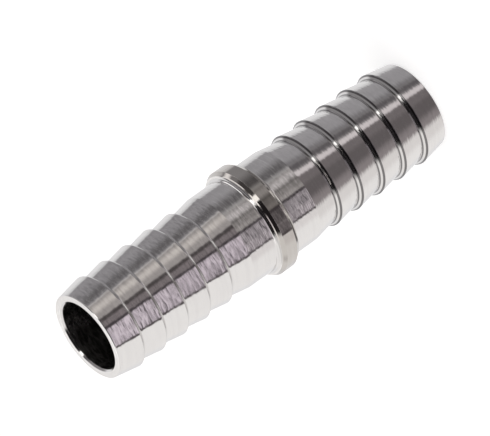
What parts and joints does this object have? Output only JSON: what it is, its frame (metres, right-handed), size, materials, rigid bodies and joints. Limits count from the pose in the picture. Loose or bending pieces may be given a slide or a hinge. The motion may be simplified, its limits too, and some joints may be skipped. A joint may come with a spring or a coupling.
{
  "type": "straight hose connector",
  "caption": "Straight double-ended hose connector turned from stainless steel: a barbed tail each side of a raised collar, and a bore right through.",
  "frame": {"origin": "middle of the lower end face, on the bore's axis", "axes": "+Z along the bore, from the lower end face up through the collar"},
  "size_m": [0.016, 0.016, 0.0573],
  "materials": {
    "turned_steel": "bright stainless steel with fine turning rings"
  },
  "bodies": {
    "root": {"hose_connector": "turned_steel"}
  },
  "joints": []
}
